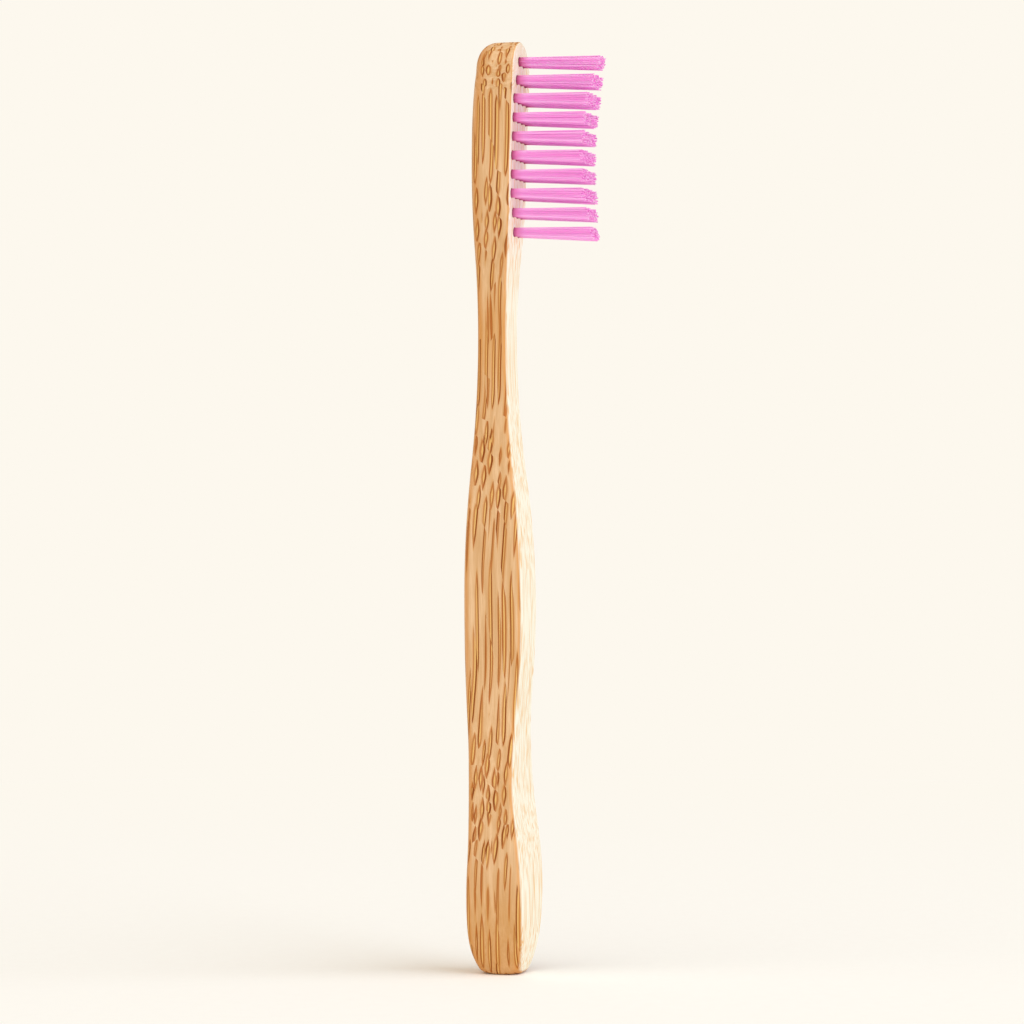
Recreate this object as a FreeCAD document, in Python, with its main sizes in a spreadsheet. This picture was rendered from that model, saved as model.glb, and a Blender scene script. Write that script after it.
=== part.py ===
# Child's bamboo toothbrush, standing on the butt of its handle.
# Frame: the origin is the middle of the foot, +Z runs up the handle to the head, +X is the way
# the bristles point and +Y runs across the width. Millimetres.
import FreeCAD, Part
import Sketcher
import math
import os
from collections import namedtuple

# How many tufts stand in each row, from the end of the head down to the neck.
TUFTS_IN_ROW = (2, 3, 4, 4, 4, 4, 4, 4, 3, 2)

# Flat sides of a bundle of bristles, and of the cutter that trims one row with each.
BUNDLE_SIDES = 12
TRIM_SIDES = 126

# Driving sizes. Heights are above the foot. Fronts (the bristle side) and backs are distances
# from the axis of the foot.
SIZES = {
    "brush_length": 148.0,
    "foot_width": 6.6,
    "bulge_height": 22.0,
    "bulge_width": 13.5,
    "hollow_height": 48.0,
    "hollow_width": 8.8,
    "grip_height": 60.0,
    "grip_width": 9.4,
    "foot_front": 3.3,
    "toe_height": 12.5,
    "toe_front": 4.65,
    "waist_height": 34.0,
    "waist_front": 3.05,
    "thumb_height": 57.0,
    "thumb_front": 4.1,
    "foot_back": 3.3,
    "heel_height": 9.0,
    "heel_back": 4.85,
    "saddle_height": 25.0,
    "saddle_back": 4.35,
    "palm_height": 53.0,
    "palm_back": 5.65,
    "neck_drop": 16.7,
    "neck_width": 6.8,
    "neck_front": 1.3,
    "neck_back": 3.75,
    "head_base_front": 2.25,
    "head_front": 2.8,
    "head_floor": 4.0,
    "nose_taper": 0.6,
    "front_edge_radius": 0.9,
    "back_edge_radius": 1.4,
    "head_edge_radius": 0.4,
    "head_back_radius": 2.4,
    "foot_edge_radius": 0.8,
    "hole_diameter": 1.6,
    "hole_depth": 3.4,
    "drill_lead": 0.5,
    "row_web": 1.4,
    "column_web": 0.73,
    "edge_wall": 0.7,
    "end_wall": 2.5,
    "anchor_thickness": 0.3,
    "anchor_height": 1.4,
    "anchor_bite": 0.1,
    "fold_thickness": 0.6,
    "bristle_length": 11.55,
    "trim_stock": 1.0,
    "tip_gap": 0.3,
    "tuft_clearance": 0.05,
}

# Sizes that follow from the driving ones, as expressions in the names of the sheet.
ROWS = len(TUFTS_IN_ROW)
WIDEST_ROW = max(TUFTS_IN_ROW)
LAST_WIDE_ROW = max(row for row, count in enumerate(TUFTS_IN_ROW) if count == WIDEST_ROW)
ROW_PITCH = "(Sizes.hole_diameter + Sizes.row_web)"
COLUMN_PITCH = "(Sizes.hole_diameter + Sizes.column_web)"
FIRST_ROW_HEIGHT = "(Sizes.brush_length - Sizes.end_wall - Sizes.hole_diameter / 2)"
LAST_ROW_HEIGHT = f"({FIRST_ROW_HEIGHT} - {ROWS - 1} * {ROW_PITCH})"
HALF_FIELD = f"({(ROWS - 1) / 2} * {ROW_PITCH})"
HEAD_WIDTH = f"({WIDEST_ROW - 1} * {COLUMN_PITCH} + Sizes.hole_diameter + 2 * Sizes.edge_wall)"
HEAD_BACK = "(Sizes.hole_depth + Sizes.head_floor - Sizes.head_front)"
HEAD_BASE_HEIGHT = f"({FIRST_ROW_HEIGHT} - {LAST_WIDE_ROW - 1.5} * {ROW_PITCH})"
HEAD_END_HEIGHT = f"(Sizes.brush_length - {HEAD_WIDTH} / 2)"
HEAD_RISE = f"({HEAD_END_HEIGHT} - {HEAD_BASE_HEIGHT})"
HEAD_LEAN = f"atan((Sizes.head_front - Sizes.head_base_front) / {HEAD_RISE})"
NECK_HEIGHT = f"({LAST_ROW_HEIGHT} - Sizes.neck_drop)"
TUFT_RADIUS = "(Sizes.hole_diameter / 2 - Sizes.tuft_clearance)"
TIP_RADIUS = f"(({COLUMN_PITCH} - Sizes.tip_gap) / 2)"
TRIM_RADIUS = f"({ROW_PITCH} / 2 / tan(180 deg / {TRIM_SIDES}))"
TRIM_RISE = f"({TRIM_RADIUS} - sqrt({TRIM_RADIUS} ^ 2 - ({HALF_FIELD} + {TIP_RADIUS}) ^ 2))"
BLANK_LENGTH = f"(Sizes.bristle_length + {TRIM_RISE} + Sizes.trim_stock)"
FOLD_DEPTH = "(Sizes.hole_depth - Sizes.tuft_clearance)"
TUFT_SPREAD = f"(({TIP_RADIUS} - {TUFT_RADIUS}) / {BLANK_LENGTH})"
FOLD_RADIUS = f"({TUFT_RADIUS} - {FOLD_DEPTH} * {TUFT_SPREAD})"
ANCHOR_LENGTH = "(Sizes.hole_diameter + 2 * Sizes.anchor_bite)"
ANCHOR_FLOOR = "(Sizes.hole_depth - Sizes.fold_thickness)"

# Where each outline of the grip turns, from the foot up, and how far out it lies there.
Turn = namedtuple("Turn", "height reach")
WIDTH_TURNS = (
    Turn("0", "Sizes.foot_width"),
    Turn("Sizes.bulge_height", "Sizes.bulge_width"),
    Turn("Sizes.hollow_height", "Sizes.hollow_width"),
    Turn("Sizes.grip_height", "Sizes.grip_width"),
    Turn(NECK_HEIGHT, "Sizes.neck_width"),
    Turn(HEAD_BASE_HEIGHT, HEAD_WIDTH),
)
FRONT_TURNS = (
    Turn("0", "Sizes.foot_front"),
    Turn("Sizes.toe_height", "Sizes.toe_front"),
    Turn("Sizes.waist_height", "Sizes.waist_front"),
    Turn("Sizes.thumb_height", "Sizes.thumb_front"),
    Turn(NECK_HEIGHT, "Sizes.neck_front"),
    Turn(HEAD_BASE_HEIGHT, "Sizes.head_base_front"),
)
BACK_TURNS = (
    Turn("0", "Sizes.foot_back"),
    Turn("Sizes.heel_height", "Sizes.heel_back"),
    Turn("Sizes.saddle_height", "Sizes.saddle_back"),
    Turn("Sizes.palm_height", "Sizes.palm_back"),
    Turn("Sizes.grip_height", "Sizes.palm_back"),
    Turn(NECK_HEIGHT, "Sizes.neck_back"),
    Turn(HEAD_BASE_HEIGHT, HEAD_BACK),
)
FRONT_RADIUS_TURNS = (
    Turn("0", "Sizes.front_edge_radius"),
    Turn(NECK_HEIGHT, "Sizes.front_edge_radius"),
    Turn(HEAD_BASE_HEIGHT, "Sizes.head_edge_radius"),
)
BACK_RADIUS_TURNS = (
    Turn("0", "Sizes.back_edge_radius"),
    Turn(NECK_HEIGHT, "Sizes.back_edge_radius"),
    Turn(HEAD_BASE_HEIGHT, "Sizes.head_back_radius"),
)

# A slice across the handle, in expressions.
Slice = namedtuple("Slice", "height width front back front_radius back_radius")

# Where the slices stand: shares of the way up to the bulge, equal steps from the bulge to the
# head, and shares of the way up the head.
FOOT_STEPS = (0, 1 / 20, 1 / 8, 1 / 4, 5 / 12, 2 / 3)
SHAFT_STEPS = 18
HEAD_STEPS = (0, 1 / 3, 2 / 3, 5 / 6, 1)

# Points and axes of a sketch.
START, END, CENTRE = range(1, 4)
H_AXIS = -START
ORIGIN = (H_AXIS, START)

doc = FreeCAD.newDocument("BambooToothbrush")
sheet = doc.addObject("Spreadsheet::Sheet", "Sizes")
for row_number, (name, number) in enumerate(SIZES.items(), start=1):
    sheet.set(f"A{row_number}", name)
    sheet.set(f"B{row_number}", str(number))
    sheet.setAlias(f"B{row_number}", name)
doc.recompute()


def number_of(expression):
    """The number that an expression in the names of the sheet comes to."""
    result = sheet.evalExpression(expression.replace("Sizes.", ""))
    return float(getattr(result, "Value", result))


def bind(thing, expressions):
    """Ties properties of an object to expressions in the names of the sheet."""
    for path, expression in expressions.items():
        thing.setExpression(path, expression)


def attached_sketch(body, name, plane, offset):
    """A sketch on one of the body's origin planes, moved along that plane's normal."""
    sketch = body.newObject("Sketcher::SketchObject", name)
    support = next(f for f in body.Origin.OriginFeatures if f.Role == plane)
    sketch.AttachmentSupport = [(support, "")]
    sketch.MapMode = "FlatFace"
    bind(sketch, {"AttachmentOffset.Base.z": offset})
    return sketch


def fix(sketch, kind, *where):
    """A geometric constraint of a sketch."""
    sketch.addConstraint(Sketcher.Constraint(kind, *where))


def measure(sketch, kind, *where, expression):
    """A dimension of a sketch, tied to the sheet."""
    index = sketch.addConstraint(Sketcher.Constraint(kind, *where, number_of(expression)))
    sketch.setExpression(f"Constraints[{index}]", expression)


def line(x0, y0, x1, y1):
    return Part.LineSegment(FreeCAD.Vector(x0, y0, 0), FreeCAD.Vector(x1, y1, 0))


def corner(x, y, radius, quarter):
    """A quarter circle about a centre, drawn anticlockwise from a multiple of 90 degrees."""
    circle = Part.Circle(FreeCAD.Vector(x, y, 0), FreeCAD.Vector(0, 0, 1), radius)
    start = quarter * math.pi / 2
    return Part.ArcOfCircle(circle, start, start + math.pi / 2)


def slice_sketch(body, name, place):
    """A slice of the handle: a rectangle with small front corners and rounder back ones."""
    sketch = attached_sketch(body, name, "XY_Plane", place.height)
    half = number_of(place.width) / 2
    ahead = number_of(place.front)
    behind = -number_of(place.back)
    small = number_of(place.front_radius)
    large = number_of(place.back_radius)
    outline = [
        line(ahead, small - half, ahead, half - small),
        corner(ahead - small, half - small, small, 0),
        line(ahead - small, half, behind + large, half),
        corner(behind + large, half - large, large, 1),
        line(behind, half - large, behind, large - half),
        corner(behind + large, large - half, large, 2),
        line(behind + large, -half, ahead - small, -half),
        corner(ahead - small, small - half, small, 3),
    ]
    front, front_corner, right, back_corner, back, _, left, _ = range(len(outline))
    sketch.addGeometry(outline)
    for i in range(len(outline)):
        fix(sketch, "Tangent", i, END, (i + 1) % len(outline), START)
    fix(sketch, "Vertical", front)
    fix(sketch, "Vertical", back)
    fix(sketch, "Horizontal", right)
    fix(sketch, "Horizontal", left)
    fix(sketch, "Equal", 1, 7)
    fix(sketch, "Equal", 3, 5)
    measure(sketch, "Radius", front_corner, expression=place.front_radius)
    measure(sketch, "Radius", back_corner, expression=place.back_radius)
    measure(sketch, "DistanceX", *ORIGIN, front, START, expression=place.front)
    measure(sketch, "DistanceX", back, START, *ORIGIN, expression=place.back)
    measure(sketch, "DistanceY", *ORIGIN, right, START, expression=f"{place.width} / 2")
    measure(sketch, "DistanceY", left, START, *ORIGIN, expression=f"{place.width} / 2")
    return sketch


def nose_sketch(body, place):
    """The right half of the head's last slice, to be turned about its middle line."""
    sketch = attached_sketch(body, "NoseProfile", "XY_Plane", place.height)
    half = number_of(place.width) / 2
    ahead = number_of(place.front)
    behind = -number_of(place.back)
    small = number_of(place.front_radius)
    large = number_of(place.back_radius)
    outline = [
        line(ahead, 0, ahead, half - small),
        corner(ahead - small, half - small, small, 0),
        line(ahead - small, half, behind + large, half),
        corner(behind + large, half - large, large, 1),
        line(behind, half - large, behind, 0),
        line(behind, 0, ahead, 0),
    ]
    front, front_corner, right, back_corner, back, middle = range(len(outline))
    sketch.addGeometry(outline)
    for i in range(back):
        fix(sketch, "Tangent", i, END, i + 1, START)
    fix(sketch, "Coincident", back, END, middle, START)
    fix(sketch, "Coincident", middle, END, front, START)
    fix(sketch, "Vertical", front)
    fix(sketch, "Vertical", back)
    fix(sketch, "Horizontal", right)
    fix(sketch, "PointOnObject", middle, START, H_AXIS)
    fix(sketch, "PointOnObject", middle, END, H_AXIS)
    measure(sketch, "Radius", front_corner, expression=place.front_radius)
    measure(sketch, "Radius", back_corner, expression=place.back_radius)
    measure(sketch, "DistanceX", *ORIGIN, front, START, expression=place.front)
    measure(sketch, "DistanceX", back, START, *ORIGIN, expression=place.back)
    measure(sketch, "DistanceY", *ORIGIN, right, START, expression=f"{place.width} / 2")
    return sketch


def mix(first, second, share):
    """The expression a share of the way from one expression to another."""
    return f"({first} + {share} * ({second} - {first}))"


def reach_at(turns, height):
    """How far out an outline lies at a height: steep out of the foot, then eased at each turn."""
    level = number_of(height)
    above = [i for i, turn in enumerate(turns) if i > 0 and number_of(turn.height) > level]
    upper = above[0] if above else len(turns) - 1
    low = turns[upper - 1]
    high = turns[upper]
    rise = f"(({height} - {low.height}) / ({high.height} - {low.height}))"
    if upper == 1:
        share = f"(1 - (1 - {rise}) ^ 3)"
    elif number_of(rise) < 1 / 2:
        share = f"(2 * {rise} ^ 2)"
    else:
        share = f"(1 - 2 * (1 - {rise}) ^ 2)"
    return mix(low.reach, high.reach, share)


def grip_slices():
    """Slices of the grip and the neck, from the foot up to the head."""
    heights = [f"({share} * Sizes.bulge_height)" for share in FOOT_STEPS]
    for step in range(SHAFT_STEPS + 1):
        heights.append(mix("Sizes.bulge_height", HEAD_BASE_HEIGHT, f"{step} / {SHAFT_STEPS}"))
    outlines = (WIDTH_TURNS, FRONT_TURNS, BACK_TURNS, FRONT_RADIUS_TURNS, BACK_RADIUS_TURNS)
    return [Slice(height, *[reach_at(turns, height) for turns in outlines]) for height in heights]


def head_slices():
    """Slices of the head: the front is flat, and the back comes forward near the end."""
    return [
        Slice(
            height=mix(HEAD_BASE_HEIGHT, HEAD_END_HEIGHT, rise),
            width=HEAD_WIDTH,
            front=mix("Sizes.head_base_front", "Sizes.head_front", rise),
            back=f"({HEAD_BACK} - {rise ** 4} * Sizes.nose_taper)",
            front_radius="Sizes.head_edge_radius",
            back_radius="Sizes.head_back_radius",
        )
        for rise in HEAD_STEPS
    ]


def tuft_places():
    """Row, column, and the expressions for across and up, of every tuft."""
    for row, count in enumerate(TUFTS_IN_ROW):
        up = f"(-{row} * {ROW_PITCH})"
        for column in range(count):
            across = f"({column - (count - 1) / 2} * {COLUMN_PITCH})"
            yield row, column, across, up


def loft(body, name, slices):
    """A skin of straight runs from slice to slice, added to the body."""
    sketches = [slice_sketch(body, f"{name}Slice{i:02d}", place) for i, place in enumerate(slices)]
    skin = body.newObject("PartDesign::AdditiveLoft", f"{name}Loft")
    skin.Profile = sketches[0]
    skin.Sections = sketches[1:]
    skin.Ruled = True
    doc.recompute()


def make_handle_blank():
    """The shaped strip: two lofts, a turned nose, a softened foot and the tuft holes."""
    body = doc.addObject("PartDesign::Body", "HandleBlank")
    head = head_slices()
    loft(body, "Grip", grip_slices())
    loft(body, "Head", head)

    profile = nose_sketch(body, head[-1])
    nose = body.newObject("PartDesign::Revolution", "HeadNose")
    nose.Profile = profile
    nose.ReferenceAxis = (profile, ["H_Axis"])
    nose.Angle = 180
    doc.recompute()

    first_step = FOOT_STEPS[1] * number_of("Sizes.bulge_height")
    edges = enumerate(nose.Shape.Edges, start=1)
    rim = [f"Edge{i}" for i, edge in edges if edge.BoundBox.ZMax < first_step / 2]
    foot = body.newObject("PartDesign::Fillet", "FootEdge")
    foot.Base = (nose, rim)
    bind(foot, {"Radius": "Sizes.foot_edge_radius"})
    doc.recompute()

    drill_start = f"Sizes.head_front + Sizes.drill_lead * cos({HEAD_LEAN})"
    centres = attached_sketch(body, "TuftCentres", "YZ_Plane", drill_start)
    leaning = FreeCAD.Rotation(FreeCAD.Vector(1, 0, 0), number_of(HEAD_LEAN))
    centres.AttachmentOffset = FreeCAD.Placement(FreeCAD.Vector(), leaning)
    bind(centres, {
        "AttachmentOffset.Rotation.Angle": HEAD_LEAN,
        "AttachmentOffset.Base.y": f"{FIRST_ROW_HEIGHT} - Sizes.drill_lead * sin({HEAD_LEAN})",
    })
    for _, _, across, up in tuft_places():
        middle = FreeCAD.Vector(number_of(across), number_of(up), 0)
        radius = number_of("Sizes.hole_diameter / 2")
        circle = centres.addGeometry(Part.Circle(middle, FreeCAD.Vector(0, 0, 1), radius))
        measure(centres, "Radius", circle, expression="Sizes.hole_diameter / 2")
        measure(centres, "DistanceX", *ORIGIN, circle, CENTRE, expression=across)
        measure(centres, "DistanceY", *ORIGIN, circle, CENTRE, expression=up)
    doc.recompute()

    undrilled = foot.Shape.Volume
    holes = body.newObject("PartDesign::Hole", "TuftHoles")
    holes.Profile = centres
    holes.ThreadType = "None"
    holes.DepthType = "Dimension"
    holes.DrillPoint = "Flat"
    bind(holes, {
        "Diameter": "Sizes.hole_diameter",
        "Depth": "Sizes.hole_depth + Sizes.drill_lead",
    })
    doc.recompute()
    if holes.Shape.Volume >= undrilled:
        raise RuntimeError("the tuft holes cut nothing")
    return body


def set_on_head(thing, across, up, out, turn):
    """Turns a thing with the lean of the head's front, and places it by distances across the head,
    up its front from the first row, and out from it."""
    leaning = FreeCAD.Rotation(FreeCAD.Vector(0, 1, 0), number_of(HEAD_LEAN))
    thing.Placement = FreeCAD.Placement(FreeCAD.Vector(), leaning)
    bind(thing, {
        "Placement.Rotation.Angle": f"{turn} + {HEAD_LEAN}",
        "Placement.Base.x": f"Sizes.head_front + {up} * sin({HEAD_LEAN}) + {out} * cos({HEAD_LEAN})",
        "Placement.Base.y": across,
        "Placement.Base.z": f"{FIRST_ROW_HEIGHT} + {up} * cos({HEAD_LEAN}) - {out} * sin({HEAD_LEAN})",
    })


def plate(name, across, up, length):
    """A flat plate across a tuft hole, from the top of the fold outwards."""
    box = doc.addObject("Part::Box", name)
    bind(box, {"Length": length, "Width": ANCHOR_LENGTH, "Height": "Sizes.anchor_thickness"})
    end = f"({across} - {ANCHOR_LENGTH} / 2)"
    under = f"({up} - Sizes.anchor_thickness / 2)"
    set_on_head(box, end, under, f"(-{ANCHOR_FLOOR})", turn="0 deg")
    return box


def make_tuft_blank():
    """A bundle before it is trimmed: a prism standing on its fold, drafted so that it spreads."""
    body = doc.addObject("PartDesign::Body", "TuftBlank")
    bundle = body.newObject("PartDesign::AdditivePrism", "Bundle")
    bundle.Polygon = BUNDLE_SIDES
    bind(bundle, {"Circumradius": FOLD_RADIUS, "Height": f"{FOLD_DEPTH} + {BLANK_LENGTH}"})
    doc.recompute()
    leans = [(f"Face{i}", face.normalAt(0, 0).z) for i, face in enumerate(bundle.Shape.Faces, start=1)]
    spread = body.newObject("PartDesign::Draft", "Spread")
    spread.Base = (bundle, [face for face, lean in leans if abs(lean) < 1 / 2])
    spread.NeutralPlane = (bundle, [face for face, lean in leans if lean < -1 / 2])
    spread.Reversed = True
    bind(spread, {"Angle": f"atan({TUFT_SPREAD} * cos(180 deg / {BUNDLE_SIDES}))"})
    doc.recompute()
    return body


def make_trim_cutter():
    """The cutter across the head that trims the tufts to a shallow hollow, a flat to each row."""
    disc = doc.addObject("Part::Prism", "TrimDisc")
    disc.Polygon = TRIM_SIDES
    across = FreeCAD.Rotation(FreeCAD.Vector(1, 0, 0), -90)
    disc.Placement = FreeCAD.Placement(FreeCAD.Vector(), across)
    bind(disc, {
        "Circumradius": f"{TRIM_RADIUS} / cos(180 deg / {TRIM_SIDES})",
        "Height": f"2 * {HEAD_WIDTH}",
        "Placement.Base.y": f"-{HEAD_WIDTH}",
    })
    cutter = group("TrimCutter", [disc])
    reach = f"(Sizes.bristle_length + {TRIM_RADIUS})"
    set_on_head(cutter, "0", f"(-{HALF_FIELD})", reach, turn="0 deg")
    return cutter


def cut(name, base, tool):
    piece = doc.addObject("Part::Cut", name)
    piece.Base = base
    piece.Tool = tool
    return piece


def group(name, members):
    compound = doc.addObject("Part::Compound", name)
    compound.Links = members
    return compound


def make_tuft(place, blank, across, up, cutter, anchor):
    """One tuft: a bundle set in its hole, trimmed to length, with its fold round the anchor."""
    bundle = doc.addObject("App::Link", f"Bundle_{place}")
    bundle.LinkedObject = blank
    set_on_head(bundle, across, up, f"(-{FOLD_DEPTH})", turn="90 deg")
    trimmed = cut(f"Trimmed_{place}", bundle, cutter)
    return cut(f"Tuft_{place}", trimmed, anchor)


handle_blank = make_handle_blank()
tuft_blank = make_tuft_blank()
trim_cutter = make_trim_cutter()
sub_parts = {}
anchors_of_row = {row: [] for row in range(ROWS)}
slots = []
for row, column, across, up in tuft_places():
    place = f"row{row + 1:02d}_col{column + 1}"
    anchor = plate(f"Anchor_{place}", across, up, "Sizes.anchor_height")
    slots.append(plate(f"Slot_{place}", across, up, f"{ANCHOR_FLOOR} + Sizes.drill_lead"))
    anchors_of_row[row].append(anchor)
    tuft = make_tuft(place, tuft_blank, across, up, trim_cutter, anchor)
    sub_parts[f"bristle_tuft_{place}"] = tuft
for row, anchors in anchors_of_row.items():
    sub_parts[f"anchors_row{row + 1:02d}"] = group(f"Anchors_row{row + 1:02d}", anchors)
sub_parts["handle"] = cut("Handle", handle_blank, group("Slots", slots))
for node, piece in sub_parts.items():
    piece.Label = node
doc.recompute()

failed = [thing.Name for thing in doc.Objects if {"Invalid", "Error"} & set(thing.State)]
if failed:
    raise RuntimeError(f"objects that failed to build: {failed}")
for node, piece in sub_parts.items():
    if piece.Shape.isNull() or not piece.Shape.isValid():
        raise RuntimeError(f"{node} has no valid shape")

os.makedirs("parts", exist_ok=True)
for node, piece in sub_parts.items():
    piece.Shape.exportStep(f"parts/{node}.step")
    print(node, len(piece.Shape.Solids), "solids", round(piece.Shape.Volume, 3), "mm3")
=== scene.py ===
# %% [markdown]
# # A child's bamboo toothbrush
# The brush stands on the butt of its handle with its bristles to the right. Three materials make it:
# a sanded bamboo handle, tufts of dyed nylon, and a small brass plate that pins each tuft in its hole.
# The CAD model is loaded first and stays where it is, so the tufts here are placed from the boxes of
# the CAD nodes and need no fitting by eye.

# %% Load the CAD frame
import math
import random

import bmesh
import bpy
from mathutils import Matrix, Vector


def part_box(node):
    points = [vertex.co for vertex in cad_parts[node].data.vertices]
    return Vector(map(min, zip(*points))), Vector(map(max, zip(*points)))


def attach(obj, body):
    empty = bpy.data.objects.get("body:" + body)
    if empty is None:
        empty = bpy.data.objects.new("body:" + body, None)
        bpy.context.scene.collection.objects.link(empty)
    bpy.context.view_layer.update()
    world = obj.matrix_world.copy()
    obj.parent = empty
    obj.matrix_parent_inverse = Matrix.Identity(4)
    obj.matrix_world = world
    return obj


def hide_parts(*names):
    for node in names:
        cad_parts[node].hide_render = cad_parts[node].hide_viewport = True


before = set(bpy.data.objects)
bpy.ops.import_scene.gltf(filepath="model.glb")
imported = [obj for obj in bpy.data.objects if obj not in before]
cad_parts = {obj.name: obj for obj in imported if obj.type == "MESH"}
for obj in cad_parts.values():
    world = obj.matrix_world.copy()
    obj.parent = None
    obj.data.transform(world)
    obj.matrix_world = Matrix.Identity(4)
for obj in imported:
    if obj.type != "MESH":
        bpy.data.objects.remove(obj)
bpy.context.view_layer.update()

MM = 0.001

# %% [markdown]
# ## The camera
# The photograph looks level at the brush from about half a metre, turned 16 degrees from the side
# towards the bristles. A long lens keeps the upright lines nearly parallel. The lens angle follows
# from how many millimetres the square picture spans at the brush, which is easier to measure than
# a focal length.

# %% Camera
CAMERA_TURN = math.radians(16)
CAMERA_DISTANCE = 565 * MM
CAMERA_HEIGHT = 73.3 * MM
CAMERA_SHIFT_RIGHT = 1.18 * MM
PICTURE_SPAN = 163 * MM
NEAREST_SEEN = 10 * MM

to_right = Vector((math.cos(CAMERA_TURN), math.sin(CAMERA_TURN), 0))
to_viewer = Vector((math.sin(CAMERA_TURN), -math.cos(CAMERA_TURN), 0))

camera_data = bpy.data.cameras.new("camera")
camera_data.angle = 2 * math.atan(PICTURE_SPAN / 2 / CAMERA_DISTANCE)
camera_data.clip_start = NEAREST_SEEN
camera = bpy.data.objects.new("camera", camera_data)
camera.location = CAMERA_DISTANCE * to_viewer + CAMERA_SHIFT_RIGHT * to_right
camera.location.z = CAMERA_HEIGHT
camera.rotation_euler = (math.pi / 2, 0, CAMERA_TURN)
bpy.context.scene.collection.objects.link(camera)
bpy.context.scene.camera = camera
bpy.context.scene.view_settings.view_transform = "Standard"
print("lens angle in degrees:", round(math.degrees(camera_data.angle), 2))

# %% [markdown]
# ## Helpers for materials
# Colours are written as the hex values a paint program shows, and one function turns them to the
# linear numbers that Blender lights, with the constants of the sRGB standard. The next adds a shader
# node, sets its options and either sets or links its inputs, so that each line of a material below is
# one node.

# %% Colour and node helpers
def linear(hex_colour):
    """An sRGB hex colour as linear red, green, blue and alpha."""
    channels = [int(hex_colour[i:i + 2], 16) / 255 for i in (1, 3, 5)]
    return [c / 12.92 if c <= 0.04045 else ((c + 0.055) / 1.055) ** 2.4 for c in channels] + [1]


def add(tree, kind, inputs, out=0, **settings):
    """Adds a node with its options, fills its inputs by value, hex colour or link, gives one output."""
    node = tree.nodes.new(kind)
    for name, value in settings.items():
        setattr(node, name, value)
    for key, value in inputs.items():
        if isinstance(value, bpy.types.NodeSocket):
            tree.links.new(value, node.inputs[key])
        else:
            node.inputs[key].default_value = linear(value) if isinstance(value, str) else value
    return node.outputs[out] if node.outputs else None


def new_material(name):
    """A material with an empty node tree."""
    material = bpy.data.materials.new(name)
    material.use_nodes = True
    material.node_tree.nodes.clear()
    return material, material.node_tree


# A Mix node has a set of inputs and an output for each kind of data. These are the ones for colours.
MIX_FACTOR = 0
MIX_A = 6
MIX_B = 7
COLOURS = {"out": 2, "data_type": "RGBA"}

# Options of a Map Range node that eases its ends, and inputs of one that falls from 1 to 0.
EASED = {"interpolation_type": "SMOOTHSTEP"}
FALLING = {"To Min": 1, "To Max": 0}
print("white in linear numbers:", linear("#FFFFFF"))

# %% [markdown]
# ## Sanded bamboo
# Bamboo has no rings like timber. Tough vascular bundles run up the stem as thin rods in pale soft
# tissue. Where the milled surface runs along the rods they show as long double streaks, where it
# leans across them they show as almonds, and on the end of the head they show as small broken rings.
# A picture of bamboo could be wrapped round the handle, but it would not turn the edges as real grain
# does. A solid pattern gives all three marks: cells that are long where the surface follows the grain
# and short where it cuts across. A smooth step for each leaning part makes the cells short there, and
# the product of a step up and a step down is high in the middle of that part and nothing outside it.

# %% Bamboo: how far along its bundles a point lies
# In millimetres, the length of a cell that makes a streak. Each leaning part is given by its lowest
# and its highest point, and by how many cells more lie in it.
STREAK_LENGTH = 15
LEANING_PARTS = ((12, 42, 4.5), (68, 93, 3.6), (108, 130, 3.2), (137, 150, 2))

# To the eye, sanded and oiled bamboo is a warm tan with a low sheen and fine lines up the handle.
bamboo, tree = new_material("bamboo_sanded_and_oiled")
coordinates = add(tree, "ShaderNodeTexCoord", {}, out="Object")
stem = add(tree, "ShaderNodeVectorMath", {0: coordinates, "Scale": 1 / MM}, operation="SCALE")
height = add(tree, "ShaderNodeSeparateXYZ", {0: stem}, out="Z")
along = add(tree, "ShaderNodeMath", {0: height, 1: STREAK_LENGTH}, operation="DIVIDE")
cut_across = 0
for low, high, cells in LEANING_PARTS:
    step = {"Value": height, "From Min": low, "From Max": high}
    up_step = add(tree, "ShaderNodeMapRange", step, **EASED)
    down_step = add(tree, "ShaderNodeMapRange", {**step, **FALLING}, **EASED)
    along = add(tree, "ShaderNodeMath", {0: up_step, 1: cells, 2: along}, operation="MULTIPLY_ADD")
    cut_across = add(
        tree, "ShaderNodeMath", {0: up_step, 1: down_step, 2: cut_across}, operation="MULTIPLY_ADD",
    )
print("parts that lean across the grain:", len(LEANING_PARTS))

# %% [markdown]
# Voronoi cells give one bundle each. The pattern goes on without end, and the place of the strip says
# which part of it the handle is cut from. The rods wander a little as they grow, so a slow noise moves
# them sideways, and neighbours don't end at the same height, so each column of cells is raised
# against the next. The cells are deep into the side of the handle, so that a streak isn't lost where
# the side curves. Towards the end of the head, which cuts straight across the grain, they draw in to
# round dots.

# %% Bamboo: a cell for each bundle
# Millimetres. The bundles are as far apart as on the photograph, about an eighth of the head's width.
STRIP_PLACE = (-0.8, -0.8, 0)
WANDER = 1.6
WANDER_WIDTH = 20
WANDER_LENGTH = 18
SPACING_ACROSS = 1.25
SPACING_DEEP = 3.0

# How far each column is raised, in cells, how uneven the cells are, and where they draw in.
STAGGER = 0.45
UNEVENNESS = 0.65
ROUND_DOTS = {"From Min": 140, "From Max": 146, "To Min": 1, "To Max": 3.5}

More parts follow.
